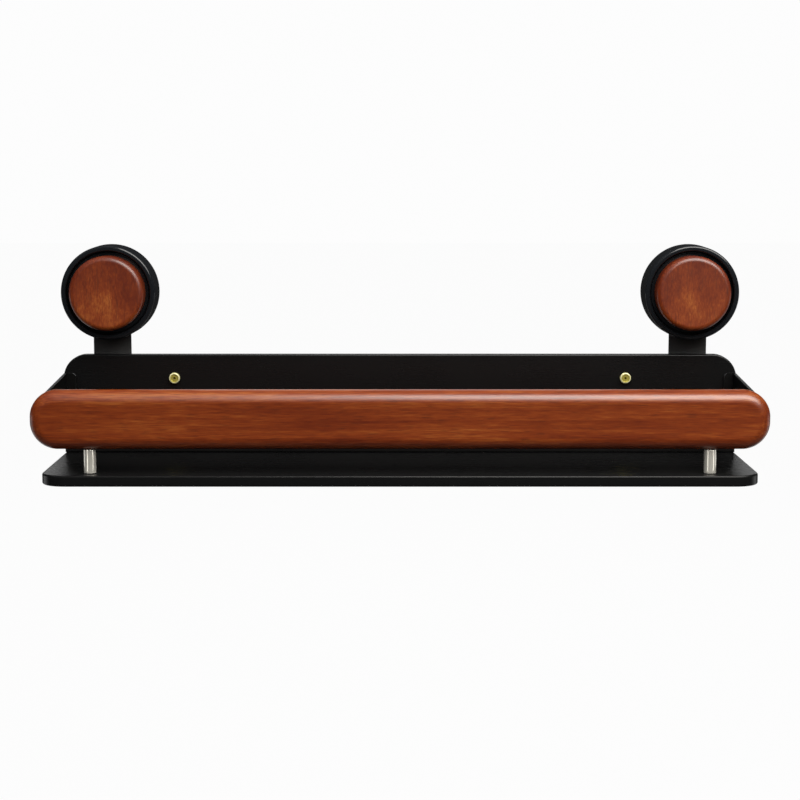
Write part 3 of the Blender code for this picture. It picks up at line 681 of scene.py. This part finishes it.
# Small pan-head screws of zinc-plated steel hold the guards, four on each: two go through one flange into
# the plate, and two through the other into the back of the rail.
guard_head = 0.0017
pattern = screw("guard_screw", head=0.0026, rise=guard_head, shank=0.0014, length=0.0065, socket=0.0012)
for side in ("left", "right"):
    for row in ("upper", "lower"):
        node = f"guard_plate_screw_{row}_{side}"
        place = middle_of(node)
        place.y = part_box(node)[0].y + guard_head
        piece = twin(pattern, f"plate_flange_screw_{row}_{side}", place, (math.pi / 2, 0, 0))
        finished(piece, zinc_plate, "zinc_steel", "ledge", node)
        node = f"guard_rail_screw_{row}_{side}"
        place = middle_of(node)
        place.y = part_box(node)[1].y - guard_head
        piece = twin(pattern, f"rail_flange_screw_{row}_{side}", place, (-math.pi / 2, 0, 0))
        finished(piece, zinc_plate, "zinc_steel", "ledge", node)
bpy.data.objects.remove(pattern)


# The hangers are flat steel under the same powder coat, painted paler all over as painted light for the
# necks that the drums shade: a ring inside the housing, a neck down to the plate and a foot behind it,
# drilled for the brass screws. Points that the joints leave close together are merged, and the eased edges
# stay within the thickness of the steel.
def disc(radius, thickness, across, depth, height, sides):
    """A round plate or cutter that faces the wall."""
    place = (across, depth, height)
    turn = (math.pi / 2, 0, 0)
    bpy.ops.mesh.primitive_cylinder_add(
        vertices=sides, radius=radius, depth=thickness, location=place, rotation=turn
    )
    bpy.ops.object.transform_apply()
    return bpy.context.object


def merge_points(piece, reach):
    """Merge the points of a piece that lie within reach of each other, and leave it in edit mode."""
    in_hand(piece)
    bpy.ops.object.mode_set(mode="EDIT")
    bpy.ops.mesh.select_all(action="SELECT")
    bpy.ops.mesh.remove_doubles(threshold=reach)


hanger_low, hanger_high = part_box("hanger_right")
hanger_size = hanger_high - hanger_low
mount = middle_of("housing_right")
hanger_level = (hanger_low.y + hanger_high.y) / 2
hanger_ease = 0.0003
ring_hole = 0.01725
neck_width = 0.027
neck_top = -0.0212
neck_root = 0.008
foot_top = plate_high.z - 0.006
foot_corner = 0.004
screw_hole = 0.00235
right_through = 0.01
bpy.ops.object.select_all(action="DESELECT")
hanger = disc(hanger_high.z, hanger_size.y, mount.x, hanger_level, 0, 96)
hanger.name = "hanger_plate_right"
foot = block(
    "foot",
    Vector((hanger_low.x, hanger_low.y, hanger_low.z)),
    Vector((mount.x + neck_width / 2, hanger_high.y, foot_top)),
)
choose("EDGE", lambda middle, way: abs(way.y) > 0.9)
round_over(foot_corner, 8)
bpy.ops.object.mode_set(mode="OBJECT")
cut_with(hanger, foot, "UNION")
neck = block(
    "neck",
    Vector((mount.x - neck_width / 2, hanger_low.y, foot_top - neck_root)),
    Vector((mount.x + neck_width / 2, hanger_high.y, neck_top)),
)
bpy.ops.object.mode_set(mode="OBJECT")
cut_with(hanger, neck, "UNION")
cut_with(hanger, disc(ring_hole, right_through, mount.x, hanger_level, 0, 96))
for row in ("upper", "lower"):
    place = middle_of(f"brass_screw_{row}_right")
    cut_with(hanger, disc(screw_hole, right_through, place.x, hanger_level, place.z, 32))
merge_points(hanger, 0.0001)
bpy.ops.mesh.dissolve_limited(angle_limit=math.radians(1))
bpy.ops.object.mode_set(mode="OBJECT")
ease(hanger, hanger_ease)
merge_points(hanger, 0.00001)
bpy.ops.object.mode_set(mode="OBJECT")
for vert in hanger.data.vertices:
    vert.co.y = min(max(vert.co.y, hanger_low.y), hanger_high.y)
# The hangers' black coat is painted paler than the guards', as painted light for their shaded necks.
painted_lit_coat = powder_coat("painted_lit_coat", 0.036, 0.044)
for side, piece in (("right", hanger), ("left", mirrored(hanger, "hanger_plate_left"))):
    finished(piece, painted_lit_coat, "black_coat", "ledge", f"hanger_{side}")


# Two brass screws with round, slightly dished heads go through the plate into each hanger, the lower one
# behind the rail. A painted highlight pales their rims, and painted shade darkens the small sockets.
brass_head = 0.0023
pattern = screw(
    "brass_screw", head=0.0039, rise=brass_head, shank=0.002, length=0.01055, socket=0.0009, dish=0.0006
)
rim_from = 0.003
socket_within = 0.001
socket_top = 0.0015
# The rims are marked for a painted highlight, and the sockets for painted shade.
rim = pattern.data.attributes.new("worn", "FLOAT", "POINT")
for vert, mark in zip(pattern.data.vertices, rim.data):
    bright = vert.co.z > 0.0001 and vert.co.xy.length > rim_from
    sunk = 0 < vert.co.z < socket_top and vert.co.xy.length < socket_within
    mark.value = bright - sunk
for side in ("left", "right"):
    for row in ("upper", "lower"):
        node = f"brass_screw_{row}_{side}"
        place = middle_of(node)
        place.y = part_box(node)[0].y + brass_head
        piece = twin(pattern, f"plate_screw_{row}_{side}", place, (math.pi / 2, 0, 0))
        finished(piece, brass, "brass", "ledge", node)
bpy.data.objects.remove(pattern)


# The housings are moulded black drums with a rounded front edge, a shallow well for the knob, a cup over
# the pad behind and a slot for the hanger's neck. Three screws hold each on its hanger.
black_plastic, where = new_finish("black_plastic", {"Specular IOR Level": 0.5})
cloud = noise(where, 30, 3)
tint(cloud, (0.0072, 0.0084, 0.0102), (0.0095, 0.011, 0.013)).feed("Base Color")
(0.1 + 0.06 * cloud).feed("Roughness")
bumpy(noise(where, 3200, 2), 0.08, 0.0001)

housing_low, housing_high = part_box("housing_left")
housing_radius = (housing_high.x - housing_low.x) / 2
front_radius = housing_radius - 0.0002
front_edge = 0.0018
front_land = 0.0013
well_lip = 0.0006
well_depth = 0.0069
cup_wall = 0.0031
cup_depth = 0.0129
slot_half = neck_width / 2 + 0.0003
slot_front = -0.0084
slot_low = -0.0406
slot_top = -0.0228
housing = drum("drum", "housing_left", 1, 128)
choose("FACE", lambda middle, way: way.y < -0.9)
bpy.ops.transform.resize(value=(front_radius / housing_radius, 1, front_radius / housing_radius))
round_over(front_edge, 8)
choose("FACE", lambda middle, way: way.y < -0.999)
bpy.ops.mesh.inset(thickness=front_land)
bpy.ops.mesh.inset(thickness=well_lip, depth=-well_lip)
bpy.ops.mesh.extrude_region_move(TRANSFORM_OT_translate={"value": (0, well_depth, 0)})
choose("FACE", lambda middle, way: way.y > 0.9)
bpy.ops.mesh.inset(thickness=cup_wall)
bpy.ops.mesh.extrude_region_move(TRANSFORM_OT_translate={"value": (0, -cup_depth, 0)})
bpy.ops.object.mode_set(mode="OBJECT")
neck_slot = block(
    "neck_slot",
    Vector((-mount.x - slot_half, slot_front, slot_low)),
    Vector((-mount.x + slot_half, 0, slot_top)),
)
bpy.ops.object.mode_set(mode="OBJECT")
cut_with(housing, neck_slot)
for side, piece in both(housing, "drum", "housing").items():
    finished(piece, black_plastic, "black_plastic", "ledge", f"housing_{side}")
    refinish(zinc_plate, *[f"housing_screw_{number}_{side}" for number in range(1, 4)])


# Each suction pad is soft black rubber: a flat sealing ring, a shallow chamber and a hub on the stud.
# The ring stays on the wall while the hub is drawn forward, so the pad bends between ledge and stud.
black_rubber, where = new_finish("black_rubber", {"Specular IOR Level": 0.4})
bloom = noise(where, 40, 4)
tint(bloom, (0.012, 0.012, 0.0125), (0.024, 0.024, 0.025)).feed("Base Color")
(0.5 + 0.2 * bloom).feed("Roughness")
bumpy(noise(where, 1500, 2), 0.15, 0.0001)

pad_low, pad_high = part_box("suction_pad_left")
pad_rim = 0.0028
pad_ease = 0.0004
seal_ring = 0.008
chamber_steps = ((0.0016, -0.0008), (0.0139, -0.0008))
hub_steps = ((0.0105, 0.00015), (0.0083, 0.00085), (0.005, 0.0016))
hub_length = 0.0056
bpy.ops.object.select_all(action="DESELECT")
pad = disc((pad_high.x - pad_low.x) / 2, pad_rim, -mount.x, -pad_rim / 2, 0, 96)
bpy.ops.object.mode_set(mode="EDIT")
choose("FACE", lambda middle, way: abs(way.y) > 0.9)
round_over(pad_ease, 3)
choose("FACE", lambda middle, way: way.y > 0.999)
bpy.ops.mesh.inset(thickness=seal_ring)
for width, rise in chamber_steps:
    bpy.ops.mesh.inset(thickness=width, depth=rise)
choose("FACE", lambda middle, way: way.y < -0.999)
for width, rise in hub_steps:
    bpy.ops.mesh.inset(thickness=width, depth=rise)
bpy.ops.mesh.extrude_region_move(TRANSFORM_OT_translate={"value": (0, -hub_length, 0)})
bpy.ops.object.mode_set(mode="OBJECT")
for side, piece in both(pad, "pad", "suction_pad").items():
    in_hand(piece)
    bpy.ops.object.shade_smooth_by_angle(angle=math.radians(40))
    piece.data.materials.append(black_rubber)
    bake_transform(piece)
    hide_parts(f"suction_pad_{side}")


# Each knob turns on a black moulded base in the housing's well: a flange that rests on a white washer, and
# a spigot that fills the wooden cap. The cap is glued on it.
foot_ease = 0.0008
flange_step = 0.0081
spigot = 0.0086
base = drum("knob_foot", "knob_base_left", 1, 128)
choose("FACE", lambda middle, way: way.y < -0.9)
bpy.ops.transform.translate(value=(0, spigot, 0))
round_over(foot_ease, 3)
choose("FACE", lambda middle, way: way.y < -0.999)
bpy.ops.mesh.inset(thickness=flange_step)
bpy.ops.mesh.extrude_region_move(TRANSFORM_OT_translate={"value": (0, -spigot, 0)})
bpy.ops.object.mode_set(mode="OBJECT")
for side, piece in both(base, "knob_foot", "knob_base").items():
    finished(piece, black_plastic, "black_plastic", f"knob_{side}", f"knob_base_{side}")


# The knob's cap is turned from the same wood as the rail, with a rounded front edge. Its grain stands
# upright, and the face is darker at its top and warmer below its middle.
def warm_heart(across):
    """A warmer patch in the lower middle of a knob's face, which is darker towards its top."""

    def patch(where):
        settings = {"gradient_type": "QUADRATIC_SPHERE"}
        place = {"Vector": where, "Location": (-across / 0.017, 0, 0.006 / 0.027), "Scale": (59, 0, 37)}
        spot = where.add("Mapping", {}, place)
        heart = where.add("TexGradient", settings, {"Vector": spot}, "Fac")
        height = where.add("SeparateXYZ", {}, {0: where}, "Z")
        return 0.17 * heart - 4 * height - 0.045

    return patch


cap_trim = 0.0008
cap_round = 0.0038
cap_ease = 0.0004
cap_wall = 0.0063 - cap_trim
cap = drum("knob_face", "knob_cap_left", 1, 128)
cap_low, cap_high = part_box("knob_cap_left")
cap_share = 1 - 2 * cap_trim / (cap_high.x - cap_low.x)
bpy.ops.transform.resize(value=(cap_share, 1, cap_share))
choose("FACE", lambda middle, way: way.y < -0.9)
round_over(cap_round, 10)
choose("FACE", lambda middle, way: way.y > 0.9)
round_over(cap_ease, 2)
choose("FACE", lambda middle, way: way.y > 0.999)
bpy.ops.mesh.inset(thickness=cap_wall)
bpy.ops.mesh.extrude_region_move(TRANSFORM_OT_translate={"value": (0, -spigot, 0)})
bpy.ops.object.mode_set(mode="OBJECT")
upright = ((45, 70, 70), (30, 330, 330), (420, 1300, 1300))
turn = (0, math.pi / 2, 0)
for side, piece in both(cap, "knob_face", "knob_cap").items():
    heart = warm_heart(middle_of(f"knob_cap_{side}").x)
    knob_wood = red_wood(f"knob_wood_{side}", turn, 0.38, upright, (0.36, 0.16, 0.6), heart)
    finished(piece, knob_wood, "red_wood", f"knob_{side}", f"knob_cap_{side}")


# The works stay as the solids give them, and only get their finish: a white plastic washer under each knob,
# a brass nut in its base, and the plated steel stud that the nut draws forward.
white_acetal, where = new_finish("white_acetal", {"Specular IOR Level": 0.5})
cloud = noise(where, 200, 3)
tint(cloud, (0.72, 0.71, 0.68), (0.8, 0.79, 0.77)).feed("Base Color")
(0.35 + 0.15 * cloud).feed("Roughness")
bumpy(cloud, 0.1, 0.0001)
refinish(white_acetal, "thrust_washer_left", "thrust_washer_right")
refinish(brass, "knob_nut_left", "knob_nut_right")
refinish(zinc_plate, "draw_stud_left", "draw_stud_right")


# Rubber bumpers behind the plate's lower corners keep a loaded ledge from tipping back to the wall. They
# are stuck on, with an eased edge where they meet the wall.
bumper_edge = 0.001
bumper = drum("bumper", "wall_bumper_left", 1, 48)
choose("FACE", lambda middle, way: way.y > 0.9)
round_over(bumper_edge, 5)
bpy.ops.object.mode_set(mode="OBJECT")
for side, piece in both(bumper, "bumper", "wall_bumper").items():
    finished(piece, black_rubber, "black_rubber", "ledge", f"wall_bumper_{side}")
